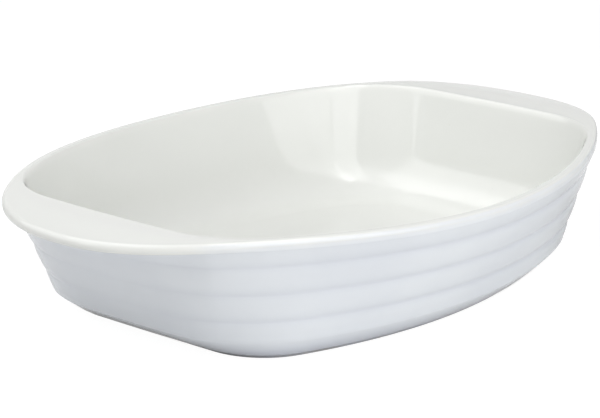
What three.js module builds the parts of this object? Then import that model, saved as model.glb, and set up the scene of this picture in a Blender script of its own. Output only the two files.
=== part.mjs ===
// A stoneware baking dish with a bowed, ribbed body and a broad ledge handle at each end.
// Millimetres. X runs from handle to handle, Y across the dish, Z up from the table under its foot.

import * as THREE from 'three';

// Mouth: the inner edge of the rim, straight across the ends and bowed along the sides.
const mouthLength = 312.8;
const mouthWidth = 252;
const mouthCornerRadius = 54;
const mouthSideBow = 28.5;
const mouthEndBow = 1;

// Rim: how far it stands out from the mouth along the sides and, as ledge handles, at the ends.
const rimHeight = 72.4;
const sideRimWidth = 6.6;
const handleReach = 38.6;
const rimCornerRadius = 90;
const rimSideBow = 38.2;
const rimEndBow = 0.2;
const rimCrown = 0.7;
const mouthEdgeRadius = 2.1;
const lipThickness = 5.5;
const sideRounding = 1.8;
const ledgeRounding = 2.5;
const ledgeUnderEdge = 1.6;
const lipStep = 0.3;
const rimSideDip = 3.6;
const handleDroop = 2.1;

// Wall: it leaves a rounded heel and flares straight up to the underside of the lip.
const handleOverhang = 19;
const ledgeAngle = 55;
const ledgeEase = 0.05;
const coveSize = 6;
const heelRise = 9.3;
const heelTuckRise = 13.4;
const heelEase = 1.15;
const heelSpreadAtEnds = 19.5;
const heelSpreadAtSides = 13.4;
const heelCornerRadius = 63;
const heelSideBow = 17;
const heelEndBow = 0.5;
const wallThickness = 5;

// Ribs: equal convex bands between the heel and the top groove.
const topBandHeight = 15;
const grooveCount = 3;
const sideGrooveDepth = 1.3;
const endGrooveDepth = 0.25;

// Foot: a bare ring that keeps the glaze off the shelf and the table.
const footLength = 252.6;
const footWidth = 194.2;
const footCornerRadius = 39.3;
const footSideBow = 16.1;
const footEndBow = 0.3;
const footHeight = 2.5;
const footBand = 9;
const footEdge = 0.8;

// Well: the flat floor, and the sweep that joins it to the walls.
const floorTop = 8.5;
const floorSweep = 24;

// Glaze: a coat on the inside and one on the outside.
const glazeThickness = 0.4;

// The rim and the handles are parted from the walls at this depth below the rim, inside the well.
const rimPartingDepth = 10;

// Sections: the reach of the spine that they fan out from, and the angles that bound the mouth's corner.
const spineReach = 60;
const cornerFrom = 25;
const cornerTo = 45.5;

// Corners: the most of an end's half width that one may take up, so that the end keeps an arc of its own.
const cornerShare = 0.96;

// Facets: steps between sections at an end, a corner and a side, and along each stretch of a section.
const endSteps = 4;
const cornerSteps = 4;
const sideSteps = 6;
const heelSteps = 3;
const bandSteps = 2;
const lipSteps = 3;
const mouthEdgeSteps = 3;
const sweepSteps = 4;
const quarterSteps = endSteps + cornerSteps + sideSteps;
const ringSteps = 4 * quarterSteps;

const rimHalfLength = mouthLength / 2 + handleReach;
const rimHalfWidth = mouthWidth / 2 + sideRimWidth;
const heelHalfLength = footLength / 2 + heelSpreadAtEnds;
const heelHalfWidth = footWidth / 2 + heelSpreadAtSides;

// Sections. The dish is drawn on upright sections that fan out from a spine along its middle.
const quarterTurn = 90;
const stretches = [
  { from: 0, to: cornerFrom, steps: endSteps },
  { from: cornerFrom, to: cornerTo, steps: cornerSteps },
  { from: cornerTo, to: quarterTurn, steps: sideSteps },
];
const quarterFan = [];
for (const { from, to, steps } of stretches) {
  for (let step = 0; step < steps; step += 1) {
    quarterFan.push(sectionRay(THREE.MathUtils.lerp(from, to, step / steps)));
  }
}
quarterFan.push(sectionRay(quarterTurn));

function sectionRay(degrees) {
  const angle = THREE.MathUtils.degToRad(degrees);
  const direction = new THREE.Vector2(Math.cos(angle), Math.sin(angle));
  return { start: new THREE.Vector2(spineReach * direction.x, 0), direction };
}

// Outlines. A quarter is three tangent arcs, and every outline has a point on each section.
function outline({ halfLength, halfWidth, cornerRadius, sideBow, endBow }) {
  const room = Math.min(halfWidth - sideBow, halfLength - endBow);
  const radius = Math.min(cornerRadius, cornerShare * room);
  const corner = new THREE.Vector2(halfLength - endBow - radius, halfWidth - sideBow - radius);
  const sideRadius = (corner.x ** 2 + (halfWidth - corner.y) ** 2 - radius ** 2) / (2 * sideBow);
  const endRadius = (corner.y ** 2 + (halfLength - corner.x) ** 2 - radius ** 2) / (2 * endBow);
  const side = new THREE.Vector2(0, halfWidth - sideRadius);
  const end = new THREE.Vector2(halfLength - endRadius, 0);
  const arcs = [
    { centre: end, radius: endRadius, upTo: corner.clone().sub(end).angle() },
    { centre: corner, radius, upTo: corner.clone().sub(side).angle() },
    { centre: side, radius: sideRadius, upTo: Math.PI },
  ];
  return aroundTheDish(quarterFan.map((ray) => crossing(arcs, ray)));
}

function crossing(arcs, { start, direction }) {
  for (const { centre, radius, upTo } of arcs) {
    const offset = centre.clone().sub(start);
    const along = offset.dot(direction);
    const reach = along + Math.sqrt(along ** 2 - offset.lengthSq() + radius ** 2);
    const point = start.clone().addScaledVector(direction, reach);
    const normal = point.clone().sub(centre).divideScalar(radius);
    if (Math.atan2(normal.y, normal.x) <= upTo) return { point, normal };
  }
  throw new Error('a section misses an outline');
}

// Mirrors a quarter, which runs from an end to a side, into the whole ring.
function aroundTheDish(quarter) {
  const quadrants = [[1, 1], [-1, 1], [-1, -1], [1, -1]].map(([x, y]) => new THREE.Vector2(x, y));
  return quadrants.flatMap((signs, turn) => {
    const order = turn % 2 === 0 ? quarter.slice(0, -1) : quarter.slice(1).reverse();
    const mirrored = (vector) => vector.clone().multiply(signs);
    return order.map(({ point, normal }) => ({ point: mirrored(point), normal: mirrored(normal) }));
  });
}

const mouth = outline({
  halfLength: mouthLength / 2,
  halfWidth: mouthWidth / 2,
  cornerRadius: mouthCornerRadius,
  sideBow: mouthSideBow,
  endBow: mouthEndBow,
});
const rim = outline({
  halfLength: rimHalfLength,
  halfWidth: rimHalfWidth,
  cornerRadius: rimCornerRadius,
  sideBow: rimSideBow,
  endBow: rimEndBow,
});
const heel = outline({
  halfLength: heelHalfLength,
  halfWidth: heelHalfWidth,
  cornerRadius: heelCornerRadius,
  sideBow: heelSideBow,
  endBow: heelEndBow,
});
const foot = outline({
  halfLength: footLength / 2,
  halfWidth: footWidth / 2,
  cornerRadius: footCornerRadius,
  sideBow: footSideBow,
  endBow: footEndBow,
});
const insideHeel = (inset) => outline({
  halfLength: heelHalfLength - inset,
  halfWidth: heelHalfWidth - inset,
  cornerRadius: heelCornerRadius - inset,
  sideBow: heelSideBow,
  endBow: heelEndBow,
});
const wellCorner = insideHeel(wallThickness);
const wellFlat = insideHeel(wallThickness + floorSweep);

// The grooves are deepest along the sides and nearly fade out round the ends.
const grooveDepth = rim.map(({ normal }) => {
  return THREE.MathUtils.lerp(sideGrooveDepth, endGrooveDepth, normal.x ** 2);
});

// The rim overhangs the wall by a small step along the sides. The step grows into a ledge round the ends.
const ledge = rim.map(({ normal }) => {
  const turn = THREE.MathUtils.radToDeg(Math.atan2(Math.abs(normal.y), Math.abs(normal.x)));
  const share = 1 - turn / ledgeAngle;
  const eased = Math.min(1, (share + Math.hypot(share, ledgeEase)) / 2);
  return Math.sin((Math.PI / 2) * eased);
});
const overhang = ledge.map((share) => THREE.MathUtils.lerp(lipStep, handleOverhang, share));
const sections = aroundTheDish(quarterFan.map(({ start, direction }) => {
  return { point: start, normal: direction };
}));
const wallTop = rim.map(({ point, normal }, step) => {
  const direction = sections[step].normal;
  return point.clone().addScaledVector(direction, -overhang[step] / direction.dot(normal));
});

// The lip's edge is round on top, more so on the ledges. It turns under over half the overhang at most.
const lipRadius = lipThickness / 2;
const sideEdge = Math.min(sideRounding, sideRimWidth / 2);
const edgeReach = ledge.map((share) => THREE.MathUtils.lerp(sideEdge, ledgeRounding, share));
const underEdge = ledge.map((share) => THREE.MathUtils.lerp(lipRadius, ledgeUnderEdge, share));
const lipTuck = overhang.map((reach) => Math.min(lipRadius, reach / 2));
const wallTopHeight = rimHeight - lipThickness;

// The rim dips along the sides and droops at the handles' tips, and the wall follows it down to the heel.
function settled(point) {
  const halfMouth = mouthLength / 2;
  const out = Math.abs(point.x);
  const dip = rimSideDip * Math.max(0, 1 - (out / halfMouth) ** 2) ** 2;
  const droop = handleDroop * (Math.max(0, out - halfMouth) / handleReach) ** 2;
  const follow = THREE.MathUtils.clamp((point.z - heelRise) / (rimHeight - heelRise), 0, 1);
  return point.setZ(point.z - (dip + droop) * follow);
}

const raise = (plan, z) => new THREE.Vector3(plan.x, plan.y, z);
const ring = (place) => Array.from({ length: ringSteps }, (unused, step) => settled(place(step)));

// Bends from one point to another, drawn towards a corner.
function bend(start, corner, finish, share) {
  const curve = new THREE.QuadraticBezierCurve3(start, corner, finish);
  return curve.getPoint(share);
}

// The wall's outer face at a height: a straight flare, drawn in to the foot below the heel.
const topGroove = rimHeight - topBandHeight;
const bandHeight = (topGroove - heelRise) / grooveCount;

function flare(step, z) {
  const share = (z - heelRise) / (wallTopHeight - heelRise);
  return heel[step].point.clone().lerp(wallTop[step], share);
}

function wallPoint(step, z, notch = 0) {
  const plan = flare(step, z);
  if (z < heelTuckRise) {
    const tuck = foot[step].point.clone().sub(flare(step, 0));
    plan.addScaledVector(tuck, (1 - z / heelTuckRise) ** heelEase);
  }
  return raise(plan.addScaledVector(heel[step].normal, -notch), z);
}

// The section's stations are rings. They run from the foot up the outside, over the rim and into the well.
const glazed = [];
for (let part = 0; part <= heelSteps; part += 1) {
  const z = THREE.MathUtils.lerp(footHeight, heelTuckRise, part / heelSteps);
  glazed.push(ring((step) => wallPoint(step, z)));
}
for (let part = 1; part < grooveCount * bandSteps; part += 1) {
  const z = heelRise + (part / bandSteps) * bandHeight;
  const inGroove = part % bandSteps === 0;
  glazed.push(ring((step) => wallPoint(step, z, inGroove ? grooveDepth[step] : 0)));
}
glazed.push(ring((step) => wallPoint(step, topGroove, grooveDepth[step])));

// The lip: a cove under the ledge, then the round edge.
const lipPlan = (step, inset) => rim[step].point.clone().addScaledVector(rim[step].normal, -inset);
const lipUnderside = (step) => raise(lipPlan(step, lipTuck[step]), wallTopHeight);

function cove(step, share) {
  const corner = wallPoint(step, wallTopHeight);
  const ledge = corner.distanceTo(lipUnderside(step));
  const size = Math.min(coveSize, ledge / 2, (wallTopHeight - topGroove) / 2);
  const start = wallPoint(step, wallTopHeight - size);
  return bend(start, corner, corner.clone().lerp(lipUnderside(step), size / ledge), share);
}

glazed.push(ring((step) => cove(step, 0)));
const partingOutside = glazed.length - 1;
glazed.push(ring((step) => cove(step, 0.5)));
glazed.push(ring((step) => cove(step, 1)));
function lipEdge(step, angle) {
  const under = angle < 0;
  const reach = under ? lipTuck[step] : edgeReach[step];
  const rise = under ? underEdge[step] : lipThickness - underEdge[step];
  const plan = lipPlan(step, reach * (1 - Math.cos(angle)));
  return raise(plan, wallTopHeight + underEdge[step] + rise * Math.sin(angle));
}

for (let part = 0; part < 2 * lipSteps; part += 1) {
  const angle = (Math.PI / 2) * (part / lipSteps - 1);
  glazed.push(ring((step) => lipEdge(step, angle)));
}
const glazeLine = glazed.length - lipSteps;

// The rim's crowned top, which rises most where the rim is broadest, and the rounded edge of the mouth.
const mouthRounding = Math.min(mouthEdgeRadius, sideRimWidth - sideEdge - glazeThickness);
const mouthPlan = (step, outset) => mouth[step].point.clone().addScaledVector(mouth[step].normal, outset);
const mouthEdgePlan = (step) => mouthPlan(step, mouthRounding);
const topEdgePlan = (step) => lipPlan(step, edgeReach[step]);
glazed.push(ring((step) => raise(topEdgePlan(step), rimHeight)));
const crownPlan = (step) => topEdgePlan(step).lerp(mouthEdgePlan(step), 0.5);
const breadth = (step) => topEdgePlan(step).distanceTo(mouthEdgePlan(step)) / handleReach;
glazed.push(ring((step) => raise(crownPlan(step), rimHeight + rimCrown * breadth(step))));
for (let part = 0; part <= mouthEdgeSteps; part += 1) {
  const angle = (Math.PI / 2) * (part / mouthEdgeSteps);
  glazed.push(ring((step) => {
    const plan = mouthPlan(step, mouthRounding * (1 - Math.sin(angle)));
    return raise(plan, rimHeight - mouthRounding * (1 - Math.cos(angle)));
  }));
}

// The well: a straight inner wall from the mouth, then the sweep to the flat floor.
function innerWall(step, z) {
  const share = (z - floorTop) / (rimHeight - mouthRounding - floorTop);
  return raise(wellCorner[step].point.clone().lerp(mouth[step].point, share), z);
}

function sweep(step, share) {
  const flatEdge = raise(wellFlat[step].point, floorTop);
  return bend(innerWall(step, floorTop + floorSweep), innerWall(step, floorTop), flatEdge, share);
}

glazed.push(ring((step) => innerWall(step, rimHeight - rimPartingDepth)));
const partingInside = glazed.length - 1;
for (let part = 0; part <= sweepSteps; part += 1) {
  glazed.push(ring((step) => sweep(step, part / sweepSteps)));
}
const floorEdge = glazed.length - 1;

// Where the clay lies under the glaze: each point set in square to the surface round it.
function stationBeyond(station, step, stride) {
  const here = glazed[station][step];
  let other = station;
  while (glazed[other + stride] && glazed[other][step].distanceTo(here) < 2 * glazeThickness) {
    other += stride;
  }
  return glazed[other][step];
}

function surfaceNormal(station, step) {
  const next = glazed[station][(step + 1) % ringSteps];
  const back = glazed[station][(step + ringSteps - 1) % ringSteps];
  const around = next.clone().sub(back);
  const upward = stationBeyond(station, step, 1).clone().sub(stationBeyond(station, step, -1));
  const normal = around.cross(upward);
  if (station === 0) normal.setZ(0);
  if (station === floorEdge) normal.set(0, 0, 1);
  return normal.normalize();
}

const clay = glazed.map((stationRing, station) => stationRing.map((point, step) => {
  return point.clone().addScaledVector(surfaceNormal(station, step), -glazeThickness);
}));
const floorUnderside = clay[floorEdge].map((point) => raise(point, footHeight));

// Solids. A loop of rings is the outline of a section, swept round the dish or through some of its steps.
function addFacet(triangles, a, b, c, d) {
  if (a.distanceToSquared(c) <= b.distanceToSquared(d)) {
    triangles.push([a, b, c], [a, c, d]);
  } else {
    triangles.push([a, b, d], [b, c, d]);
  }
}

function addStrip(triangles, low, high, first, count) {
  for (let step = first; step < first + count; step += 1) {
    const here = step % ringSteps;
    const next = (step + 1) % ringSteps;
    addFacet(triangles, low[here], low[next], high[next], high[here]);
  }
}

function addFloor(triangles, edge) {
  const centre = new THREE.Vector3(0, 0, edge[0].z);
  for (let step = 0; step < ringSteps; step += 1) {
    triangles.push([edge[step], edge[(step + 1) % ringSteps], centre]);
  }
}

function addSectionCap(triangles, loop, step, turned) {
  const outward = rim[step].normal;
  const flat = loop.map((stationRing) => {
    const point = stationRing[step];
    return new THREE.Vector2(point.x * outward.x + point.y * outward.y, point.z);
  });
  for (const [a, b, c] of THREE.ShapeUtils.triangulateShape(flat, [])) {
    const corners = [loop[a][step], loop[b][step], loop[c][step]];
    triangles.push(turned ? corners.reverse() : corners);
  }
}

function sweptRound(loop) {
  const triangles = [];
  loop.forEach((low, index) => addStrip(triangles, low, loop[(index + 1) % loop.length], 0, ringSteps));
  return triangles;
}

function sweptThrough(loop, first, count) {
  const triangles = [];
  loop.forEach((low, index) => addStrip(triangles, low, loop[(index + 1) % loop.length], first, count));
  addSectionCap(triangles, loop, first % ringSteps, false);
  addSectionCap(triangles, loop, (first + count) % ringSteps, true);
  return triangles;
}

function bowl(upper, lower) {
  const triangles = [];
  const rings = [...[...lower].reverse(), ...upper];
  rings.slice(1).forEach((high, index) => addStrip(triangles, rings[index], high, 0, ringSteps));
  addFloor(triangles, upper[upper.length - 1]);
  const underside = [];
  addFloor(underside, lower[lower.length - 1]);
  triangles.push(...underside.map((corners) => corners.reverse()));
  return triangles;
}

// One indexed geometry, with its faces turned outward.
function geometryOf(triangles) {
  const places = new Map();
  const positions = [];
  const indexOf = (point) => {
    if (!places.has(point)) {
      places.set(point, places.size);
      positions.push(point.x, point.y, point.z);
    }
    return places.get(point);
  };
  let volume = 0;
  for (const [a, b, c] of triangles) volume += a.dot(b.clone().cross(c));
  const facing = volume < 0 ? triangles.map((corners) => [...corners].reverse()) : triangles;
  const index = facing.flatMap((corners) => corners.map(indexOf));
  const geometry = new THREE.BufferGeometry();
  geometry.setAttribute('position', new THREE.Float32BufferAttribute(positions, 3));
  geometry.setIndex(index);
  geometry.computeVertexNormals();
  return geometry;
}

// Finishes.
const warmGlaze = new THREE.MeshStandardMaterial({ color: '#eceee9', roughness: 0.12, metalness: 0 });
const coolGlaze = new THREE.MeshStandardMaterial({ color: '#e3e7ea', roughness: 0.15, metalness: 0 });
const firedClay = new THREE.MeshStandardMaterial({ color: '#d9d0c1', roughness: 0.85, metalness: 0 });
const bareFoot = new THREE.MeshStandardMaterial({ color: '#bcbdc2', roughness: 0.9, metalness: 0 });

const dish = new THREE.Group();

function addPiece(name, triangles, material) {
  const piece = new THREE.Mesh(geometryOf(triangles), material);
  piece.name = name;
  dish.add(piece);
}

// The foot ring and the floor of the well.
const footRing = (inset, z) => foot.map(({ point, normal }) => {
  return raise(point.clone().addScaledVector(normal, -inset), z);
});
addPiece('foot_ring', sweptRound([
  footRing(0, footHeight),
  footRing(0, footEdge),
  footRing(footEdge, 0),
  footRing(footBand - footEdge, 0),
  footRing(footBand, footEdge),
  footRing(footBand, footHeight),
]), bareFoot);
addPiece('well_floor', bowl([clay[floorEdge]], [floorUnderside]), firedClay);

// The four walls meet at the middle of each corner. The handles run on past the corners to meet the rims.
const wallSection = [
  ...clay.slice(0, partingOutside + 1),
  ...clay.slice(partingInside, floorEdge + 1),
  floorUnderside,
];
const rimSection = clay.slice(partingOutside, partingInside + 1);
const endReach = { wall: endSteps + cornerSteps / 2, top: endSteps + cornerSteps };
const sideReach = { wall: quarterSteps - endReach.wall, top: quarterSteps - endReach.top };
const sides = [
  { wall: 'right_end_wall', top: 'right_handle', reach: endReach },
  { wall: 'back_wall', top: 'back_rim', reach: sideReach },
  { wall: 'left_end_wall', top: 'left_handle', reach: endReach },
  { wall: 'front_wall', top: 'front_rim', reach: sideReach },
];
sides.forEach(({ wall, top, reach }, turn) => {
  const middle = ringSteps + turn * quarterSteps;
  addPiece(wall, sweptThrough(wallSection, middle - reach.wall, 2 * reach.wall), firedClay);
  addPiece(top, sweptThrough(rimSection, middle - reach.top, 2 * reach.top), firedClay);
});

// The two coats of glaze meet along the outermost line of the lip.
addPiece('outer_glaze', sweptRound([
  ...glazed.slice(0, glazeLine + 1),
  ...clay.slice(0, glazeLine + 1).reverse(),
]), coolGlaze);
addPiece('inner_glaze', bowl(glazed.slice(glazeLine), clay.slice(glazeLine)), warmGlaze);

export default dish;
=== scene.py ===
import math
from types import SimpleNamespace

import bpy
import numpy as np
from bpy.props import FloatProperty, FloatVectorProperty, PointerProperty
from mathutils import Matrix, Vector


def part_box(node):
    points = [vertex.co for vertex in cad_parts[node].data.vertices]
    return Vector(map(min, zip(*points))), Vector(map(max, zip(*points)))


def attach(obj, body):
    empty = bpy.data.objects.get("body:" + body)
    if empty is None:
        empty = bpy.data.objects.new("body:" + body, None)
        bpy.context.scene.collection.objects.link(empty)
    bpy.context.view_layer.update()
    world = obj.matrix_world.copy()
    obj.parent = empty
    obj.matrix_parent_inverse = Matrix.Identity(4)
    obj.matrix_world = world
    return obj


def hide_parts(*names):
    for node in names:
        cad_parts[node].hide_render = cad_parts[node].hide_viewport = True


bl_info = {
    "name": "Ribbed Baking Dish",
    "version": (1, 0, 0),
    "blender": (4, 5, 0),
    "location": "3D View > Sidebar > Bakeware",
    "description": "Builds a glazed stoneware baking dish with ribbed sides and ledge handles",
    "category": "Add Mesh",
}

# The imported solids. Sizes that their boxes show are read from them.
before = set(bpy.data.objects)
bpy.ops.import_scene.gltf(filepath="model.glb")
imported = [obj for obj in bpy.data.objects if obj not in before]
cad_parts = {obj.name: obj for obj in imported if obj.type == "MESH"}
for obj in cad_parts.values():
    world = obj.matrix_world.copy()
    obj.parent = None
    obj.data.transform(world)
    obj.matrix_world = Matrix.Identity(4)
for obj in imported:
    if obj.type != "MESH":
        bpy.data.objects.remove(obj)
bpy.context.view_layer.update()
rim_low, rim_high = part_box("inner_glaze")
foot_low, foot_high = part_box("foot_ring")

# Steps between sections round a quarter of the dish, and along each stretch of a section.
END_STEPS = 24
CORNER_STEPS = 24
SIDE_STEPS = 48
QUARTER_STEPS = END_STEPS + CORNER_STEPS + SIDE_STEPS
RING_STEPS = 4 * QUARTER_STEPS
HEEL_STEPS = 10
BAND_STEPS = 14
BAND_COUNT = 3
TOP_BAND_STEPS = 12
COVE_STEPS = 8
LIP_STEPS = 12
CROWN_STEPS = 16
MOUTH_EDGE_STEPS = 10
INNER_WALL_STEPS = 8
SWEEP_STEPS = 18
FLOOR_RINGS = 4

# What each point of the glaze carries from its form to its finish.
MARKS = ("pooled_and_shade", "thinned", "overrun")

# How much the glaze pools in the deepest groove, which the darker pooled colour also darkens as painted
# shade.
GROOVE_POOLING_AND_SHADE = 0.6

# Growth of the ledge over which the glaze on the lip changes from the cool one to the warm one.
WARM_LIP = (0.02, 0.35)

# Turns of the lip's round edge over which each glaze's overrun fades, with 0 as its outermost line.
WARM_FADE = (math.radians(-75), math.radians(-45))
COOL_FADE = (math.radians(60), math.radians(35))

# Least stretch, in thicknesses of glaze to each side, that the clay's normals are taken over.
CLAY_STRETCH = 3

# Place of the point in the middle of a foot ring's bevel, as a share of the bevel.
BEVEL_MIDDLE = 0.3

# Faces of the clay that meet at more than this angle show an edge.
SHARP_ANGLE = math.radians(35)


def length(name, description, default):
    """A size in metres that a user can change."""
    return FloatProperty(
        name=name, description=description, default=default, min=0.0, precision=4,
        subtype="DISTANCE", unit="LENGTH",
    )


def share(name, description, default, most=1.0):
    """A plain number without a unit."""
    return FloatProperty(name=name, description=description, default=default, min=0.0, max=most)


def turn(name, description, degrees):
    """An angle that a user can change."""
    return FloatProperty(
        name=name, description=description, default=math.radians(degrees),
        subtype="ANGLE", unit="ROTATION",
    )


def tint(name, description, default):
    """A colour that a user can change."""
    return FloatVectorProperty(
        name=name, description=description, default=default, min=0.0, max=1.0, size=3, subtype="COLOR",
    )


class DishSizes(bpy.types.PropertyGroup):
    """The sizes that shape the dish."""

    mouth_length: length("Mouth length", "Inner edge of the rim, from end to end", 0.3128)
    mouth_width: length("Mouth width", "Inner edge of the rim, across the middle", 0.252)
    mouth_corner: length("Mouth corner", "Radius of the mouth's corners", 0.054)
    mouth_side_bow: length("Mouth side bow", "How far the mouth's sides bow out", 0.0285)
    mouth_end_bow: length("Mouth end bow", "How far the mouth's ends bow out", 0.001)
    mouth_edge: length("Mouth edge", "Rounding between the rim and the well", 0.0021)

    rim_length: length("Rim length", "Length over the ledge handles", rim_high.x - rim_low.x)
    rim_width: length("Rim width", "Width over the side rims", rim_high.y - rim_low.y)
    rim_height: length("Rim height", "Height of the rim's edges at the dish's corners", 0.0724)
    rim_corner: length("Rim corner", "Radius of the rim's corners", 0.09)
    rim_side_bow: length("Rim side bow", "How far the rim's sides bow out", 0.0382)
    rim_end_bow: length("Rim end bow", "How far the handles' tips bow out", 0.0002)
    rim_crown: length("Rim crown", "Rise of the rim between its two edges", 0.0006)
    rim_side_dip: length("Rim side dip", "How far the rim dips at the middle of a side", 0.0036)
    handle_droop: length("Handle droop", "How far a handle's tip droops", 0.0021)
    handle_overhang: length("Handle overhang", "How far a handle reaches past the end wall", 0.019)
    ledge_angle: turn("Ledge angle", "Turn of the rim at which the ledge begins", 55.0)
    ledge_ease: share("Ledge ease", "Softness of the ledge's beginning", 0.05)
    lip_thickness: length("Lip thickness", "Thickness of the lip", 0.0055)
    side_rounding: length("Side rounding", "Breadth of the rounding along a side rim's top edge", 0.0018)
    ledge_rounding: length("Ledge rounding", "Breadth of the rounding along a handle's top edge", 0.0025)
    ledge_under: length("Ledge under edge", "Height of the rounding along a handle's lower edge", 0.0016)
    lip_step: length("Lip step", "Overhang of the lip along the sides", 0.0003)
    cove: length("Cove", "Hollow between the wall and a handle's underside", 0.006)

    heel_rise: length("Heel rise", "Height at which the wall leaves the rounded heel", 0.0093)
    heel_tuck: length("Heel tuck", "Height at which the wall begins to draw in to the foot", 0.0134)
    heel_ease: share("Heel ease", "How softly the heel turns under to the foot", 1.15, most=4.0)
    heel_end_spread: length("Heel end spread", "How far the heel stands out at the ends", 0.0195)
    heel_side_spread: length("Heel side spread", "How far the heel stands out along the sides", 0.0134)
    heel_corner: length("Heel corner", "Radius of the heel's corners", 0.063)
    heel_side_bow: length("Heel side bow", "How far the heel's sides bow out", 0.017)
    heel_end_bow: length("Heel end bow", "How far the heel's ends bow out", 0.0005)
    wall: length("Wall", "Thickness of the wall at the heel", 0.005)

    top_band: length("Top band", "Depth of the top groove below the rim", 0.015)
    side_groove: length("Side groove", "Depth of the grooves along the sides", 0.0013)
    end_groove: length("End groove", "Depth of the grooves round the ends", 0.00025)
    band_roundness: share("Band roundness", "Power of the curve between two grooves", 3.0, most=8.0)

    foot_length: length("Foot length", "Length of the foot ring", foot_high.x - foot_low.x)
    foot_width: length("Foot width", "Width of the foot ring", foot_high.y - foot_low.y)
    foot_corner: length("Foot corner", "Radius of the foot ring's corners", 0.0393)
    foot_side_bow: length("Foot side bow", "How far the foot ring's sides bow out", 0.0161)
    foot_end_bow: length("Foot end bow", "How far the foot ring's ends bow out", 0.0003)
    foot_height: length("Foot height", "Height of the foot ring in painted shade ring", foot_high.z - foot_low.z)
    foot_band: length("Foot band", "Width of the foot ring in painted shade ring", 0.009)
    foot_edge: length("Foot edge", "Bevel of the foot ring's edges", 0.0008)

    floor_top: length("Floor top", "Height of the well's floor", 0.0085)
    floor_sweep: length("Floor sweep", "Size of the curve between the floor and the wall", 0.024)
    glaze: length("Glaze", "Thickness of the glaze", 0.0004)
    rim_parting: length("Rim parting", "Depth in the well at which the rim meets the wall", 0.01)

    spine_reach: length("Spine reach", "Reach of the spine that the sections fan out from", 0.06)
    corner_from: turn("Corner from", "Section at which the mouth's corner begins", 25.0)
    corner_to: turn("Corner to", "Section at which the mouth's corner ends", 45.5)
    corner_share: share("Corner share", "Most of an end's half width that a corner takes up", 0.96)


class DishFinishes(bpy.types.PropertyGroup):
    """The colours and finishes of the dish."""

    warm_glaze: tint("Warm glaze", "Glaze of the well, the rim and the handles", (0.835, 0.845, 0.815))
    warm_pooled: tint("Warm pooled", "The warm glaze where it lies thick", (0.80, 0.815, 0.785))
    cool_glaze: tint("Cool glaze", "Glaze of the ribbed outside", (0.80, 0.83, 0.86))
    # Painted shade: the darker pooled colour also darkens the heel and the grooves where shade falls.
    cool_pooled_and_shade: tint("Cool pooled and shaded", "The cool glaze in the grooves and at the heel", (0.66, 0.69, 0.75))
    thin_glaze: tint("Thin glaze", "Glaze where it runs thin over an edge", (0.87, 0.87, 0.84))
    fired_clay: tint("Fired clay", "The stoneware body", (0.69, 0.64, 0.55))
    clay_grog: tint("Clay grog", "Darker grains in the stoneware", (0.50, 0.45, 0.38))
    # Painted shade: the bare foot ring is coloured the dark blue-grey of the shadow under the dish, not
    # the clay's own colour.
    bare_foot: tint("Bare foot in painted shade", "The ground foot ring", (0.45, 0.48, 0.55))
    glaze_gloss: share("Glaze roughness", "Roughness of the glaze where it is cleanest", 0.03)


class DishStage(bpy.types.PropertyGroup):
    """The camera, the sky and the floor."""

    azimuth: turn("Azimuth", "Way round the dish that the camera stands", -48.44)
    elevation: turn("Elevation", "Camera's height above the horizon", 16.46)
    distance: length("Distance", "From the camera to the point it looks at", 1.3656)
    aim_height: length("Aim height", "Height of the point that the camera looks at", 0.04002)
    aim_left: length("Aim left", "How far left of the middle the camera looks", 0.00816)
    lens: FloatProperty(
        name="Lens", description="Focal length on a 36 mm sensor", default=148.11, min=1.0, unit="CAMERA",
    )
    sky: share("Sky", "Strength of the soft light from all round", 0.02)
    floor: tint("Floor", "Colour of the floor", (0.86, 0.86, 0.86))


def section_fan(sizes):
    """Start and direction, seen from above, of a quarter's sections, from an end to a side."""
    stretches = [
        np.linspace(0.0, sizes.corner_from, END_STEPS, endpoint=False),
        np.linspace(sizes.corner_from, sizes.corner_to, CORNER_STEPS, endpoint=False),
        np.linspace(sizes.corner_to, math.pi / 2, SIDE_STEPS + 1),
    ]
    angle = np.concatenate(stretches)
    direction = np.column_stack([np.cos(angle), np.sin(angle)])
    start = np.column_stack([sizes.spine_reach * direction[:, 0], np.zeros(len(angle))])
    return start, direction


def around_the_dish(quarter):
    """Mirrors a quarter, which runs from an end to a side, into the whole ring."""
    forth = quarter[:-1]
    back = quarter[:0:-1]
    return np.concatenate([forth, back * (-1, 1), forth * (-1, -1), back * (1, -1)])


def outline(sizes, full_length, full_width, corner, side_bow, end_bow):
    """Points and normals of an oval of three tangent arcs a quarter, one point on each section."""
    half_length = full_length / 2
    half_width = full_width / 2
    room = min(half_width - side_bow, half_length - end_bow)
    radius = min(corner, sizes.corner_share * room)
    corner_centre = np.array([half_length - end_bow - radius, half_width - side_bow - radius])
    to_side = corner_centre[0] ** 2 + (half_width - corner_centre[1]) ** 2 - radius ** 2
    to_end = corner_centre[1] ** 2 + (half_length - corner_centre[0]) ** 2 - radius ** 2
    side_radius = to_side / (2 * side_bow)
    end_radius = to_end / (2 * end_bow)
    side_centre = np.array([0.0, half_width - side_radius])
    end_centre = np.array([half_length - end_radius, 0.0])
    end_until = math.atan2(*(corner_centre - end_centre)[::-1])
    corner_until = math.atan2(*(corner_centre - side_centre)[::-1])
    arcs = [
        (side_centre, side_radius, math.pi),
        (corner_centre, radius, corner_until),
        (end_centre, end_radius, end_until),
    ]
    start, direction = section_fan(sizes)
    points = np.zeros_like(start)
    normals = np.zeros_like(start)
    for centre, arc_radius, until in arcs:
        offset = centre - start
        along = (offset * direction).sum(1)
        reach = along + np.sqrt(np.maximum(along ** 2 - (offset ** 2).sum(1) + arc_radius ** 2, 0.0))
        crossing = start + direction * reach[:, None]
        normal = (crossing - centre) / arc_radius
        on_arc = np.arctan2(normal[:, 1], normal[:, 0]) <= until + 1e-9
        points[on_arc] = crossing[on_arc]
        normals[on_arc] = normal[on_arc]
    return SimpleNamespace(point=around_the_dish(points), normal=around_the_dish(normals))


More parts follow.
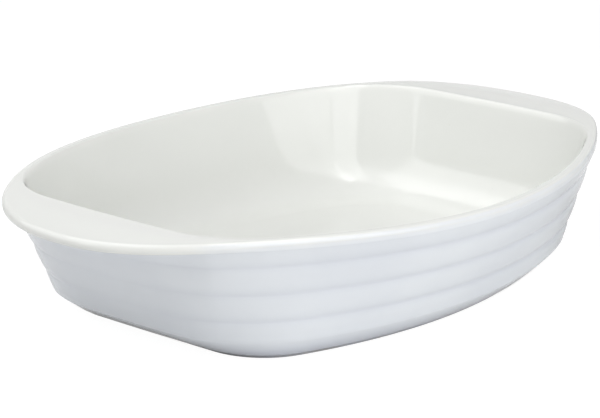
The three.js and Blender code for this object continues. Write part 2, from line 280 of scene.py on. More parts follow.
def blend(first, second, amount):
    """The value at a share of the way from one to the other."""
    return first + (second - first) * amount


def eased_step(low, high, value):
    """Nothing below one value, one above the other, and a soft rise between."""
    rise = np.clip((value - low) / (high - low), 0.0, 1.0)
    return rise ** 2 * (3 - 2 * rise)


def bend(start, corner, finish, amount):
    """A point on the curve from start to finish that is drawn towards a corner."""
    return blend(blend(start, corner, amount), blend(corner, finish, amount), amount)


def raised(plan, height):
    """Points seen from above, lifted to a height."""
    return np.column_stack([plan, np.broadcast_to(height, len(plan))])


def settled(sizes, points):
    """The rim dips along the sides and droops at the handles, and the wall follows it to the heel."""
    half_mouth = sizes.mouth_length / 2
    reach = sizes.rim_length / 2 - half_mouth
    out = np.abs(points[:, 0])
    dip = sizes.rim_side_dip * np.maximum(0.0, 1 - (out / half_mouth) ** 2) ** 2
    droop = sizes.handle_droop * (np.maximum(0.0, out - half_mouth) / reach) ** 2
    follow = np.clip((points[:, 2] - sizes.heel_rise) / (sizes.rim_height - sizes.heel_rise), 0.0, 1.0)
    lowered = points.copy()
    lowered[:, 2] -= (dip + droop) * follow
    return lowered


def dish_form(sizes):
    """The glazed surface and the clay under it, as rings from the foot over the rim to the floor."""
    s = sizes
    heel_length = s.foot_length + 2 * s.heel_end_spread
    heel_width = s.foot_width + 2 * s.heel_side_spread
    mouth = outline(s, s.mouth_length, s.mouth_width, s.mouth_corner, s.mouth_side_bow, s.mouth_end_bow)
    rim = outline(s, s.rim_length, s.rim_width, s.rim_corner, s.rim_side_bow, s.rim_end_bow)
    heel = outline(s, heel_length, heel_width, s.heel_corner, s.heel_side_bow, s.heel_end_bow)
    foot = outline(s, s.foot_length, s.foot_width, s.foot_corner, s.foot_side_bow, s.foot_end_bow)

    def inside_heel(inset):
        return outline(
            s, heel_length - 2 * inset, heel_width - 2 * inset, s.heel_corner - inset,
            s.heel_side_bow, s.heel_end_bow,
        ).point

    well_corner = inside_heel(s.wall)
    well_flat = inside_heel(s.wall + s.floor_sweep)

    # The grooves are deepest along the sides, and the lip's overhang grows into a ledge round the ends.
    end_facing = rim.normal[:, 0] ** 2
    groove = blend(s.side_groove, s.end_groove, end_facing)
    rim_turn = np.arctan2(np.abs(rim.normal[:, 1]), np.abs(rim.normal[:, 0]))
    onset = 1 - rim_turn / s.ledge_angle
    eased = np.minimum(1.0, (onset + np.hypot(onset, s.ledge_ease)) / 2)
    ledge = np.sin(math.pi / 2 * eased)
    overhang = blend(s.lip_step, s.handle_overhang, ledge)
    direction = around_the_dish(section_fan(s)[1])
    wall_top = rim.point - direction * (overhang / (direction * rim.normal).sum(1))[:, None]
    wall_top_height = s.rim_height - s.lip_thickness
    top_groove = s.rim_height - s.top_band
    band_height = (top_groove - s.heel_rise) / BAND_COUNT
    lip_radius = s.lip_thickness / 2
    lip_tuck = np.minimum(lip_radius, overhang / 2)
    edge_reach = blend(s.side_rounding, s.ledge_rounding, ledge)
    under_edge = blend(lip_radius, s.ledge_under, ledge)

    def flare(height):
        rise = (height - s.heel_rise) / (wall_top_height - s.heel_rise)
        return blend(heel.point, wall_top, np.broadcast_to(rise, RING_STEPS)[:, None])

    def wall_point(height, notch=0.0):
        tuck = np.broadcast_to(np.maximum(0.0, 1 - height / s.heel_tuck) ** s.heel_ease, RING_STEPS)
        inset = np.broadcast_to(notch, RING_STEPS)
        plan = flare(height) + (foot.point - flare(0.0)) * tuck[:, None] - heel.normal * inset[:, None]
        return raised(plan, height)

    def lip_plan(inset):
        return rim.point - rim.normal * np.broadcast_to(inset, RING_STEPS)[:, None]

    def mouth_plan(outset):
        return mouth.point + mouth.normal * outset

    def inner_wall(height):
        rise = (height - s.floor_top) / (s.rim_height - s.mouth_edge - s.floor_top)
        return raised(blend(well_corner, mouth.point, rise), height)

    rings = []
    marks = {mark: [] for mark in MARKS}
    depth_share = GROOVE_POOLING_AND_SHADE * groove / s.side_groove
    on_ledge = eased_step(*WARM_LIP, ledge)

    def add(points, pooled_and_shade=0.0, thinned=0.0, overrun=0.0):
        rings.append(settled(s, points))
        for mark, value in zip(MARKS, (pooled_and_shade, thinned, overrun)):
            marks[mark].append(np.broadcast_to(value, RING_STEPS))

    # The heel, darkened towards the foot as painted shade, then the convex bands up to the top groove,
    # darkened in each groove by pooled glaze and painted shade.
    for height in np.linspace(s.foot_height, s.heel_tuck, HEEL_STEPS):
        add(wall_point(height), pooled_and_shade=eased_step(s.heel_tuck, s.foot_height, height))
    first_part = math.ceil(BAND_STEPS * (s.heel_tuck - s.heel_rise) / band_height + 0.5)
    for part in range(first_part, BAND_COUNT * BAND_STEPS):
        place = part / BAND_STEPS
        from_middle = abs(2 * (place % 1.0) - 1)
        fade = from_middle ** s.band_roundness if place > 0.5 else 0.0
        add(wall_point(s.heel_rise + place * band_height, groove * fade), pooled_and_shade=fade * depth_share)

    # The top band, the cove under the ledge, and the lip's round edge.
    corner = wall_point(wall_top_height)
    underside = raised(lip_plan(lip_tuck), wall_top_height)
    ledge_width = np.linalg.norm(corner - underside, axis=1)
    cove_size = np.minimum(np.minimum(s.cove, ledge_width / 2), (wall_top_height - top_groove) / 2)
    cove_foot = wall_top_height - cove_size
    for part in range(TOP_BAND_STEPS):
        place = part / TOP_BAND_STEPS
        fade = (1 - place) ** s.band_roundness
        # The top groove is darkened by pooled glaze and by painted shade.
        add(wall_point(blend(top_groove, cove_foot, place), groove * fade), pooled_and_shade=fade * depth_share)
    parting_outside = len(rings)
    cove_start = wall_point(cove_foot)
    cove_end = blend(corner, underside, (cove_size / ledge_width)[:, None])
    for part in range(COVE_STEPS + 1):
        add(bend(cove_start, corner, cove_end, part / COVE_STEPS))
    for part in range(2 * LIP_STEPS + 1):
        angle = math.pi / 2 * (part / LIP_STEPS - 1)
        depth = lip_tuck if part < LIP_STEPS else edge_reach
        rise = under_edge if part < LIP_STEPS else s.lip_thickness - under_edge
        height = wall_top_height + under_edge + rise * math.sin(angle)
        # The warm glaze runs down over the ledges' lip, and the cool one up over the sides' lip.
        warm = eased_step(*WARM_FADE, angle) * on_ledge
        cool = eased_step(*COOL_FADE, angle) * (1 - on_ledge)
        add(
            raised(lip_plan(depth * (1 - math.cos(angle))), height), thinned=math.cos(angle) ** 2,
            overrun=warm if part < LIP_STEPS else cool,
        )
    glaze_line = len(rings) - 1 - LIP_STEPS

    # The crowned rim, the rounded edge of the mouth, the inner wall, the sweep and the floor.
    edge_top = mouth_plan(s.mouth_edge)
    handle_reach = (s.rim_length - s.mouth_length) / 2
    lip_top = lip_plan(edge_reach)
    breadth = np.linalg.norm(lip_top - edge_top, axis=1) / handle_reach
    for part in range(1, CROWN_STEPS):
        place = part / CROWN_STEPS
        crown = s.rim_crown * breadth * math.sin(math.pi * place) ** 2
        add(raised(blend(lip_top, edge_top, place), s.rim_height + crown))
    for part in range(MOUTH_EDGE_STEPS):
        place = part / MOUTH_EDGE_STEPS
        points = bend(
            raised(edge_top, s.rim_height), inner_wall(s.rim_height),
            inner_wall(s.rim_height - 2 * s.mouth_edge), place,
        )
        add(points, thinned=math.sin(math.pi * place) ** 2)
    add(inner_wall(s.rim_height - 2 * s.mouth_edge))
    parting_inside = len(rings)
    sweep_top = s.floor_top + s.floor_sweep
    parting_height = s.rim_height - s.rim_parting
    for height in np.linspace(parting_height, sweep_top, INNER_WALL_STEPS, endpoint=False):
        add(inner_wall(height))
    sweep = (inner_wall(sweep_top), inner_wall(s.floor_top), raised(well_flat, s.floor_top))
    for part in range(SWEEP_STEPS + 1):
        add(bend(*sweep, part / SWEEP_STEPS))
    floor_edge = len(rings) - 1

    glazed = np.stack(rings)
    clay = glazed - clay_normals(glazed, s.glaze) * s.glaze
    floor_underside = clay[floor_edge].copy()
    floor_underside[:, 2] = s.foot_height
    return SimpleNamespace(
        glazed=glazed, clay=clay, normals=surface_normals(glazed),
        marks={mark: np.stack(values) for mark, values in marks.items()},
        foot=foot, floor_underside=floor_underside, floor_edge=floor_edge, glaze_line=glaze_line,
        parting_outside=parting_outside, parting_inside=parting_inside,
    )


def crossed(around, upward):
    """Unit normals across two directions on the surface."""
    normal = np.cross(around, upward)
    return normal / np.maximum(np.linalg.norm(normal, axis=-1, keepdims=True), 1e-12)


def level_ends(normals):
    """Levels the normals where the surface starts at the foot, and stands them up on the floor."""
    normals[0, :, 2] = 0.0
    normals[0] /= np.linalg.norm(normals[0], axis=1, keepdims=True)
    normals[-1] = (0.0, 0.0, 1.0)
    return normals


def surface_normals(grid):
    """Outward normals of the surface, from its nearest points on all sides."""
    around = np.roll(grid, -1, axis=1) - np.roll(grid, 1, axis=1)
    upward = np.empty_like(grid)
    upward[1:-1] = grid[2:] - grid[:-2]
    upward[0] = grid[1] - grid[0]
    upward[-1] = grid[-1] - grid[-2]
    normals = crossed(around, upward)
    normals[-1] = (0.0, 0.0, 1.0)
    return normals


def clay_normals(grid, glaze):
    """Outward normals over a stretch wide enough that the clay under the glaze doesn't fold."""
    count = len(grid)
    steps = np.arange(grid.shape[1])
    here = np.repeat(np.arange(count)[:, None], grid.shape[1], axis=1)

    def beyond(stride):
        other = here.copy()
        for _ in range(count):
            ahead = np.clip(other + stride, 0, count - 1)
            near = np.linalg.norm(grid[other, steps] - grid, axis=-1) < CLAY_STRETCH * glaze
            moved = np.where(near, ahead, other)
            if np.array_equal(moved, other):
                break
            other = moved
        return grid[other, steps]

    around = np.roll(grid, -1, axis=1) - np.roll(grid, 1, axis=1)
    return level_ends(crossed(around, beyond(1) - beyond(-1)))


class PieceMesh:
    """Gathers the rings and faces of one piece."""

    def __init__(self):
        self.points = []
        self.normals = []
        self.marks = {mark: [] for mark in MARKS}
        self.faces = []
        self.count = 0

    def ring(self, points, normals=None, **marks):
        """Adds a ring of points and gives its indices."""
        self.points.append(points)
        self.normals.append(np.zeros_like(points) if normals is None else normals)
        for mark, values in self.marks.items():
            values.append(np.broadcast_to(marks.get(mark, 0.0), len(points)))
        first = self.count
        self.count += len(points)
        return np.arange(first, self.count)

    def strip(self, low, high, closed=True):
        """Adds a strip of faces between two rings."""
        count = len(low) if closed else len(low) - 1
        for step in range(count):
            after = (step + 1) % len(low)
            self.faces.append((low[step], low[after], high[after], high[step]))

    def cap(self, ring, turned=False):
        """Closes a ring with one face."""
        order = ring[::-1] if turned else ring
        self.faces.append(tuple(order))


def outward(points, faces):
    """The faces, turned outward."""
    volume = 0.0
    for face in faces:
        corners = points[list(face)]
        fan = np.cross(corners[1:-1] - corners[0], corners[2:] - corners[0])
        volume += (fan * corners[0]).sum()
    return faces if volume > 0 else [face[::-1] for face in faces]


def make_piece(name, built, node, material, keep_normals=False):
    """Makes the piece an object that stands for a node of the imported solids."""
    points = np.concatenate(built.points)
    mesh = bpy.data.meshes.new(name)
    faces = outward(points, built.faces)
    mesh.from_pydata(points.tolist(), [], [[int(index) for index in face] for face in faces])
    mesh.validate()
    mesh.shade_smooth()
    for mark, values in built.marks.items():
        attribute = mesh.attributes.new(mark, "FLOAT", "POINT")
        attribute.data.foreach_set("value", np.concatenate(values).astype(np.float32))
    if keep_normals:
        mesh.normals_split_custom_set_from_vertices(np.concatenate(built.normals).tolist())
    else:
        mesh.set_sharp_from_angle(angle=SHARP_ANGLE)
    mesh.materials.append(material)
    piece = bpy.data.objects.new(name, mesh)
    bpy.context.scene.collection.objects.link(piece)
    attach(piece, "root")
    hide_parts(node)
    return piece


def glaze_shell(form, first, last, floor=False):
    """A coat of glaze between two stations, closed along its edges and, where asked, over the floor."""
    built = PieceMesh()
    outer = []
    inner = []
    for station in range(first, last + 1):
        marks = {mark: values[station] for mark, values in form.marks.items()}
        normals = form.normals[station]
        outer.append(built.ring(form.glazed[station], normals, **marks))
        inner.append(built.ring(form.clay[station], -normals, **marks))
    if floor:
        for surface, rings, sign in ((form.glazed[last], outer, 1.0), (form.clay[last], inner, -1.0)):
            for part in range(1, FLOOR_RINGS):
                shrunk = surface * (1 - part / FLOOR_RINGS, 1 - part / FLOOR_RINGS, 1.0)
                flat = np.broadcast_to((0.0, 0.0, sign), surface.shape)
                rings.append(built.ring(shrunk, flat))
    for low, high in zip(outer, outer[1:]):
        built.strip(low, high)
    for low, high in zip(inner, inner[1:]):
        built.strip(high, low)
    built.strip(inner[0], outer[0])
    if floor:
        built.cap(outer[-1])
        built.cap(inner[-1], turned=True)
    else:
        built.strip(outer[-1], inner[-1])
    return built


def swept_through(section, first, count):
    """A length of the clay body: a loop of rings between two sections, with both ends closed."""
    built = PieceMesh()
    steps = np.arange(first, first + count + 1) % RING_STEPS
    loop = [built.ring(ring[steps]) for ring in section]
    for low, high in zip(loop, loop[1:] + loop[:1]):
        built.strip(low, high, closed=False)
    built.cap(np.array([ring[0] for ring in loop]), turned=True)
    built.cap(np.array([ring[-1] for ring in loop]))
    return built


def stretch_of(turn_index, reach):
    """First section and count of sections of a stretch centred on an end or a side."""
    middle = RING_STEPS + turn_index * QUARTER_STEPS
    return middle - reach, 2 * reach


def new_material(name):
    """An empty node material with its shader and output."""
    material = bpy.data.materials.new(name)
    material.use_nodes = True
    nodes = material.node_tree.nodes
    nodes.clear()
    output = nodes.new("ShaderNodeOutputMaterial")
    shader = nodes.new("ShaderNodeBsdfPrincipled")
    material.node_tree.links.new(shader.outputs["BSDF"], output.inputs["Surface"])
    return material, shader


class NodeBench:
    """Adds nodes to a material and joins them."""

    def __init__(self, material):
        self.nodes = material.node_tree.nodes
        self.links = material.node_tree.links
        self.place = self.nodes.new("ShaderNodeTexCoord").outputs["Object"]

    def noise(self, scale, detail=2.0, roughness=0.5):
        node = self.nodes.new("ShaderNodeTexNoise")
        node.inputs["Scale"].default_value = scale
        node.inputs["Detail"].default_value = detail
        node.inputs["Roughness"].default_value = roughness
        self.links.new(self.place, node.inputs["Vector"])
        return node.outputs["Fac"]

    def spots(self, scale):
        node = self.nodes.new("ShaderNodeTexVoronoi")
        node.inputs["Scale"].default_value = scale
        self.links.new(self.place, node.inputs["Vector"])
        return node.outputs["Distance"]

    def mark(self, name):
        node = self.nodes.new("ShaderNodeAttribute")
        node.attribute_name = name
        return node.outputs["Fac"]

    def ranged(self, value, low, high, to_low=0.0, to_high=1.0):
        node = self.nodes.new("ShaderNodeMapRange")
        node.inputs["From Min"].default_value = low
        node.inputs["From Max"].default_value = high
        node.inputs["To Min"].default_value = to_low
        node.inputs["To Max"].default_value = to_high
        self.links.new(value, node.inputs["Value"])
        return node.outputs["Result"]

    def maths(self, operation, first, second):
        node = self.nodes.new("ShaderNodeMath")
        node.operation = operation
        for socket, value in zip(node.inputs, (first, second)):
            self.feed(socket, value)
        return node.outputs["Value"]

    def mixed(self, amount, first, second):
        node = self.nodes.new("ShaderNodeMix")
        node.data_type = "RGBA"
        self.feed(node.inputs[0], amount)
        self.feed(node.inputs[6], first)
        self.feed(node.inputs[7], second)
        return node.outputs[2]

    def bump(self, height, strength, distance, under=None):
        node = self.nodes.new("ShaderNodeBump")
        node.inputs["Strength"].default_value = strength
        node.inputs["Distance"].default_value = distance
        self.links.new(height, node.inputs["Height"])
        if under is not None:
            self.links.new(under, node.inputs["Normal"])
        return node.outputs["Normal"]

    def feed(self, socket, value):
        if isinstance(value, bpy.types.NodeSocket):
            self.links.new(value, socket)
        elif isinstance(value, (int, float)):
            socket.default_value = value
        else:
            socket.default_value = (*value, 1.0)


def glaze_material(name, colour, pooled_and_shade_colour, thin_colour, other_colour, gloss):
    """A glossy glaze: cloudy where thick, darker where it pools and where shade is painted in, pale over
    edges, with pinholes and the other's overrun.
    """
    material, shader = new_material(name)
    bench = NodeBench(material)
    clouds = bench.ranged(bench.noise(14.0, 3.0, 0.55), 0.35, 0.7)
    surface = bench.mixed(bench.maths("MULTIPLY", clouds, 0.35), colour, pooled_and_shade_colour)
    # Painted shade: the pooled colour darkens the heel and, together with pooled glaze, the grooves.
    surface = bench.mixed(bench.mark("pooled_and_shade"), surface, pooled_and_shade_colour)
    surface = bench.mixed(bench.mark("overrun"), surface, other_colour)
    thinned = bench.mark("thinned")
    patchy = bench.ranged(bench.noise(60.0, 4.0), 0.4, 0.7, 0.2, 0.6)
    worn = bench.maths("MULTIPLY", thinned, patchy)
    surface = bench.mixed(worn, surface, thin_colour)
    pinholes = bench.ranged(bench.spots(150.0), 0.03, 0.06, 1.0, 0.0)
    sparse = bench.ranged(bench.noise(22.0), 0.62, 0.68)
    pinholes = bench.maths("MULTIPLY", pinholes, sparse)
    pinhole_colour = (0.5, 0.46, 0.4)
    surface = bench.mixed(bench.maths("MULTIPLY", pinholes, 0.25), surface, pinhole_colour)
    bench.feed(shader.inputs["Base Color"], surface)
    haze = bench.ranged(bench.noise(35.0, 4.0, 0.6), 0.3, 0.75, gloss, gloss + 0.05)
    bench.feed(shader.inputs["Roughness"], haze)
    ripple = bench.bump(bench.noise(18.0, 2.0), 0.2, 0.0004)
    peel = bench.bump(bench.noise(240.0, 2.0), 0.06, 0.0002, ripple)
    bench.feed(shader.inputs["Normal"], bench.bump(pinholes, 0.3, -0.0002, peel))
    shader.inputs["IOR"].default_value = 1.52
    return material


def clay_material(name, colour, grog_colour, ground=False):
    """Fired stoneware: a dry, grainy body with darker grains, ground smoother where it stands."""
    material, shader = new_material(name)
    bench = NodeBench(material)
    clouds = bench.ranged(bench.noise(30.0, 4.0, 0.6), 0.3, 0.75)
    surface = bench.mixed(bench.maths("MULTIPLY", clouds, 0.5), colour, grog_colour)
    grains = bench.ranged(bench.spots(700.0), 0.12, 0.3, 1.0, 0.0)
    surface = bench.mixed(bench.maths("MULTIPLY", grains, 0.45), surface, grog_colour)
    bench.feed(shader.inputs["Base Color"], surface)
    rough = (0.62, 0.8) if ground else (0.78, 0.95)
    bench.feed(shader.inputs["Roughness"], bench.ranged(bench.noise(90.0, 3.0), 0.3, 0.7, *rough))
    pits = bench.bump(grains, 0.25, -0.0002)
    bench.feed(shader.inputs["Normal"], bench.bump(bench.noise(900.0, 3.0), 0.35, 0.0002, pits))
    return material


def shared_material(name, make):
    """The material of that name, made the first time it is asked for."""
    return bpy.data.materials.get(name) or make(name)


def fired_clay(finishes):
    """The body's own clay."""
    return shared_material(
        "fired clay", lambda name: clay_material(name, finishes.fired_clay, finishes.clay_grog),
    )


class BAKEWARE_OT_foot_ring(bpy.types.Operator):
    """Add the bare ring that the dish stands on"""

    bl_idname = "bakeware.foot_ring"
    bl_label = "Foot Ring"

    def execute(self, context):
        sizes = context.scene.dish_sizes
        finishes = context.scene.dish_finishes
        foot = dish_form(sizes).foot
        bevel = BEVEL_MIDDLE * sizes.foot_edge
        profile = [
            (0.0, sizes.foot_height),
            (0.0, sizes.foot_edge),
            (bevel, bevel),
            (sizes.foot_edge, 0.0),
            (sizes.foot_band - sizes.foot_edge, 0.0),
            (sizes.foot_band - bevel, bevel),
            (sizes.foot_band, sizes.foot_edge),
            (sizes.foot_band, sizes.foot_height),
        ]
        built = PieceMesh()
        loop = [
            built.ring(raised(foot.point - foot.normal * inset, height))
            for inset, height in profile
        ]
        for low, high in zip(loop, loop[1:] + loop[:1]):
            built.strip(low, high)
        # The foot ring's colour is painted shade.
        material = clay_material("foot ring in painted shade", finishes.bare_foot, finishes.clay_grog, ground=True)
        make_piece("foot_ring_ground", built, "foot_ring", material)
        return {"FINISHED"}


class BAKEWARE_OT_well_floor(bpy.types.Operator):
    """Add the clay floor of the well"""

    bl_idname = "bakeware.well_floor"
    bl_label = "Well Floor"

    def execute(self, context):
        form = dish_form(context.scene.dish_sizes)
        built = PieceMesh()
        top = built.ring(form.clay[form.floor_edge])
        bottom = built.ring(form.floor_underside)
        built.strip(bottom, top)
        built.cap(top)
        built.cap(bottom, turned=True)
        material = fired_clay(context.scene.dish_finishes)
        make_piece("well_floor_clay", built, "well_floor", material)
        return {"FINISHED"}


class BAKEWARE_OT_walls(bpy.types.Operator):
    """Add the clay of the two long sides and the two ends, which meet at the middle of each corner"""

    bl_idname = "bakeware.walls"
    bl_label = "Walls"

    def execute(self, context):
        form = dish_form(context.scene.dish_sizes)
        section = [
            *form.clay[:form.parting_outside + 1],
            *form.clay[form.parting_inside:form.floor_edge + 1],
            form.floor_underside,
        ]
        end_reach = END_STEPS + CORNER_STEPS // 2
        reaches = (end_reach, QUARTER_STEPS - end_reach)
        material = fired_clay(context.scene.dish_finishes)
        for place, node in enumerate(("right_end_wall", "back_wall", "left_end_wall", "front_wall")):
            built = swept_through(section, *stretch_of(place, reaches[place % 2]))
            make_piece(f"{node}_clay", built, node, material)
        return {"FINISHED"}


class BAKEWARE_OT_rims_and_handles(bpy.types.Operator):
    """Add the clay of the two side rims and the two ledge handles"""

    bl_idname = "bakeware.rims_and_handles"
    bl_label = "Rims and Handles"

    def execute(self, context):
        form = dish_form(context.scene.dish_sizes)
        section = form.clay[form.parting_outside:form.parting_inside + 1]
        end_reach = END_STEPS + CORNER_STEPS
        reaches = (end_reach, QUARTER_STEPS - end_reach)
        material = fired_clay(context.scene.dish_finishes)
        for place, node in enumerate(("right_handle", "back_rim", "left_handle", "front_rim")):
            built = swept_through(section, *stretch_of(place, reaches[place % 2]))
            make_piece(f"{node}_clay", built, node, material)
        return {"FINISHED"}


class BAKEWARE_OT_outer_glaze(bpy.types.Operator):
    """Add the cool glaze of the ribbed outside, from the foot to the lip"""

    bl_idname = "bakeware.outer_glaze"
    bl_label = "Outer Glaze"

    def execute(self, context):
        finishes = context.scene.dish_finishes
        form = dish_form(context.scene.dish_sizes)
        material = glaze_material(
            "cool glaze", finishes.cool_glaze, finishes.cool_pooled_and_shade, finishes.thin_glaze,
            finishes.warm_glaze, finishes.glaze_gloss,
        )
        built = glaze_shell(form, 0, form.glaze_line)
        make_piece("outer_glaze_coat", built, "outer_glaze", material, keep_normals=True)
        return {"FINISHED"}


class BAKEWARE_OT_inner_glaze(bpy.types.Operator):
    """Add the warm glaze over the lip, the rim, the handles and the well"""

    bl_idname = "bakeware.inner_glaze"
    bl_label = "Inner Glaze"

    def execute(self, context):
        finishes = context.scene.dish_finishes
        form = dish_form(context.scene.dish_sizes)
        material = glaze_material(
            "warm glaze", finishes.warm_glaze, finishes.warm_pooled, finishes.thin_glaze,
            finishes.cool_glaze, finishes.glaze_gloss,
        )
        built = glaze_shell(form, form.glaze_line, form.floor_edge, floor=True)
        make_piece("inner_glaze_coat", built, "inner_glaze", material, keep_normals=True)
        return {"FINISHED"}


def look_back(stage):
    """Directions from the point that the camera looks at to the camera, and to the camera's right."""
    across = math.cos(stage.elevation)
    back = Vector((
        math.sin(stage.azimuth) * across,
        -math.cos(stage.azimuth) * across,
        math.sin(stage.elevation),
    ))
    right = Vector((math.cos(stage.azimuth), math.sin(stage.azimuth), 0.0))
    return back, right


def add_softbox(name, azimuth, elevation, width, height, strength):
    """A soft light that faces the dish. It is placed and sized in degrees as seen from the dish.

    Its strength is how bright its face looks, with 1 as white.
    """
    away = 1.5
    middle = Vector((0.0, 0.0, 0.04))
    turned = math.radians(azimuth)
    lifted = math.radians(elevation)
    across = math.cos(lifted)
    outward_way = Vector((math.cos(turned) * across, math.sin(turned) * across, math.sin(lifted)))
    lamp = bpy.data.lights.new(name, "AREA")
    lamp.shape = "RECTANGLE"
    lamp.size = 2 * away * math.tan(math.radians(width) / 2)
    lamp.size_y = 2 * away * math.tan(math.radians(height) / 2)
    lamp.energy = strength * math.pi * lamp.size * lamp.size_y
    softbox = bpy.data.objects.new(name, lamp)
    softbox.location = middle + outward_way * away
    softbox.rotation_mode = "QUATERNION"
    softbox.rotation_quaternion = (-outward_way).to_track_quat("-Z", "Y")
    bpy.context.scene.collection.objects.link(softbox)


def seen_by(nodes, links, *rays):
    """One where a ray of one of the named kinds meets the surface, and nothing where it only lights."""
    path = nodes.new("ShaderNodeLightPath")
    seen = path.outputs[rays[0]]
    for ray in rays[1:]:
        either = nodes.new("ShaderNodeMath")
        either.operation = "MAXIMUM"
        links.new(seen, either.inputs[0])
        links.new(path.outputs[ray], either.inputs[1])
        seen = either.outputs["Value"]
    return seen


def lifted_floor(nodes, links, matt, glow):
    """A floor of a matt grey, lifted towards white by a glow of its own."""
    soft = nodes.new("ShaderNodeBsdfDiffuse")
    soft.inputs["Color"].default_value = (matt, matt, matt, 1.0)
    light = nodes.new("ShaderNodeEmission")
    light.inputs["Strength"].default_value = glow
    lifted = nodes.new("ShaderNodeAddShader")
    links.new(soft.outputs["BSDF"], lifted.inputs[0])
    links.new(light.outputs["Emission"], lifted.inputs[1])
    return lifted.outputs["Shader"]


def floor_material(colour):
    """A white floor that keeps the dish's shadow and can be looked through from below."""
    material = bpy.data.materials.new("pale floor")
    material.use_nodes = True
    nodes = material.node_tree.nodes
    links = material.node_tree.links
    nodes.clear()
    output = nodes.new("ShaderNodeOutputMaterial")
    matt = nodes.new("ShaderNodeBsdfDiffuse")
    matt.inputs["Color"].default_value = (*colour, 1.0)
    in_reflections = nodes.new("ShaderNodeMixShader")
    links.new(seen_by(nodes, links, "Is Glossy Ray"), in_reflections.inputs["Fac"])
    links.new(matt.outputs["BSDF"], in_reflections.inputs[1])
    links.new(lifted_floor(nodes, links, matt=0.85, glow=0.2), in_reflections.inputs[2])
    by_path = nodes.new("ShaderNodeMixShader")
    links.new(seen_by(nodes, links, "Is Camera Ray", "Is Transmission Ray"), by_path.inputs["Fac"])
    links.new(in_reflections.outputs["Shader"], by_path.inputs[1])
    links.new(lifted_floor(nodes, links, matt=0.1, glow=0.97), by_path.inputs[2])
    facing = nodes.new("ShaderNodeNewGeometry")
    clear = nodes.new("ShaderNodeBsdfTransparent")
    by_side = nodes.new("ShaderNodeMixShader")
    links.new(facing.outputs["Backfacing"], by_side.inputs["Fac"])
    links.new(by_path.outputs["Shader"], by_side.inputs[1])
    links.new(clear.outputs["BSDF"], by_side.inputs[2])
    links.new(by_side.outputs["Shader"], output.inputs["Surface"])
    return material


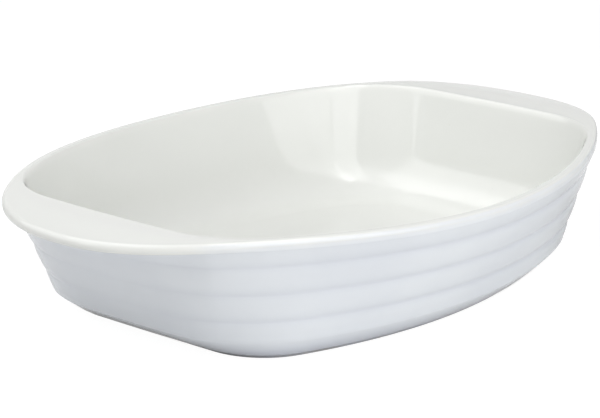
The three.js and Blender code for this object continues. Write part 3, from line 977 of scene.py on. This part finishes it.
class BAKEWARE_OT_stage(bpy.types.Operator):
    """Add the floor, the lights and the camera"""

    bl_idname = "bakeware.stage"
    bl_label = "Stage"

    def execute(self, context):
        stage = context.scene.dish_stage
        self.add_floor(stage)
        self.add_sky(context.scene, stage)
        self.add_lights()
        self.add_camera(context.scene, stage)
        context.scene.view_settings.view_transform = "Standard"
        return {"FINISHED"}

    def add_floor(self, stage):
        reach = 6.0
        rounds = 64
        angles = np.linspace(0.0, 2 * math.pi, rounds, endpoint=False)
        rim = np.column_stack([np.cos(angles) * reach, np.sin(angles) * reach, np.zeros(rounds)])
        mesh = bpy.data.meshes.new("floor")
        mesh.from_pydata(rim.tolist(), [], [list(range(rounds))])
        mesh.materials.append(floor_material(stage.floor))
        floor = bpy.data.objects.new("floor", mesh)
        bpy.context.scene.collection.objects.link(floor)

    def add_sky(self, scene, stage):
        world = bpy.data.worlds.new("soft sky")
        world.use_nodes = True
        nodes = world.node_tree.nodes
        links = world.node_tree.links
        nodes.clear()
        output = nodes.new("ShaderNodeOutputWorld")
        light = nodes.new("ShaderNodeBackground")
        cool_white = (0.97, 0.985, 1.0, 1.0)
        light.inputs["Color"].default_value = cool_white
        light.inputs["Strength"].default_value = stage.sky
        white = nodes.new("ShaderNodeBackground")
        white.inputs["Color"].default_value = (1.0, 1.0, 1.0, 1.0)
        white.inputs["Strength"].default_value = 1.0
        by_path = nodes.new("ShaderNodeMixShader")
        seen = seen_by(nodes, links, "Is Camera Ray", "Is Glossy Ray", "Is Transmission Ray")
        links.new(seen, by_path.inputs["Fac"])
        links.new(light.outputs["Background"], by_path.inputs[1])
        links.new(white.outputs["Background"], by_path.inputs[2])
        links.new(by_path.outputs["Shader"], output.inputs["Surface"])
        scene.world = world

    def add_lights(self):
        # Three boxes side by side make a front light that fades to the right.
        front = dict(elevation=40.0, height=66.0)
        add_softbox("front right softbox", azimuth=-81.9, width=9.5, strength=1.35, **front)
        add_softbox("front softbox", azimuth=-91.4, width=9.5, strength=1.7, **front)
        add_softbox("front left softbox", azimuth=-108.1, width=23.9, strength=2.1, **front)
        # The low box lights the ribbed outside, and the front rim keeps most of it out of the well.
        add_softbox(
            "low front softbox", azimuth=-97.5, elevation=5.0, width=65.0, height=10.0, strength=3.1,
        )
        add_softbox(
            "high left softbox", azimuth=180.0, elevation=70.0, width=80.0, height=36.0, strength=1.15,
        )
        add_softbox(
            "back left softbox", azimuth=135.0, elevation=45.0, width=60.0, height=60.0, strength=1.4,
        )

    def add_camera(self, scene, stage):
        back, right = look_back(stage)
        aim = Vector((0.0, 0.0, stage.aim_height)) - right * stage.aim_left
        camera = bpy.data.cameras.new("camera")
        camera.sensor_width = 36.0
        camera.lens = stage.lens
        viewer = bpy.data.objects.new("camera", camera)
        viewer.location = aim + back * stage.distance
        viewer.rotation_mode = "QUATERNION"
        viewer.rotation_quaternion = (-back).to_track_quat("-Z", "Y")
        scene.collection.objects.link(viewer)
        scene.camera = viewer


OPERATORS = (
    BAKEWARE_OT_foot_ring,
    BAKEWARE_OT_well_floor,
    BAKEWARE_OT_walls,
    BAKEWARE_OT_rims_and_handles,
    BAKEWARE_OT_outer_glaze,
    BAKEWARE_OT_inner_glaze,
    BAKEWARE_OT_stage,
)


class BAKEWARE_PT_dish(bpy.types.Panel):
    """Lists the dish's pieces and settings"""

    bl_idname = "BAKEWARE_PT_dish"
    bl_label = "Baking Dish"
    bl_space_type = "VIEW_3D"
    bl_region_type = "UI"
    bl_category = "Bakeware"

    def draw(self, context):
        layout = self.layout
        for operator in OPERATORS:
            layout.operator(operator.bl_idname)
        for group in ("dish_sizes", "dish_finishes", "dish_stage"):
            settings = getattr(context.scene, group)
            box = layout.box()
            for name in settings.__annotations__:
                box.prop(settings, name)


GROUPS = {"dish_sizes": DishSizes, "dish_finishes": DishFinishes, "dish_stage": DishStage}


def register():
    for group, settings in GROUPS.items():
        bpy.utils.register_class(settings)
        setattr(bpy.types.Scene, group, PointerProperty(type=settings))
    for operator in OPERATORS:
        bpy.utils.register_class(operator)
    bpy.utils.register_class(BAKEWARE_PT_dish)


def unregister():
    bpy.utils.unregister_class(BAKEWARE_PT_dish)
    for operator in reversed(OPERATORS):
        bpy.utils.unregister_class(operator)
    for group, settings in reversed(GROUPS.items()):
        delattr(bpy.types.Scene, group)
        bpy.utils.unregister_class(settings)


def main():
    register()
    bpy.ops.bakeware.foot_ring()
    bpy.ops.bakeware.well_floor()
    bpy.ops.bakeware.walls()
    bpy.ops.bakeware.rims_and_handles()
    bpy.ops.bakeware.outer_glaze()
    bpy.ops.bakeware.inner_glaze()
    bpy.ops.bakeware.stage()


if __name__ == "__main__":
    main()
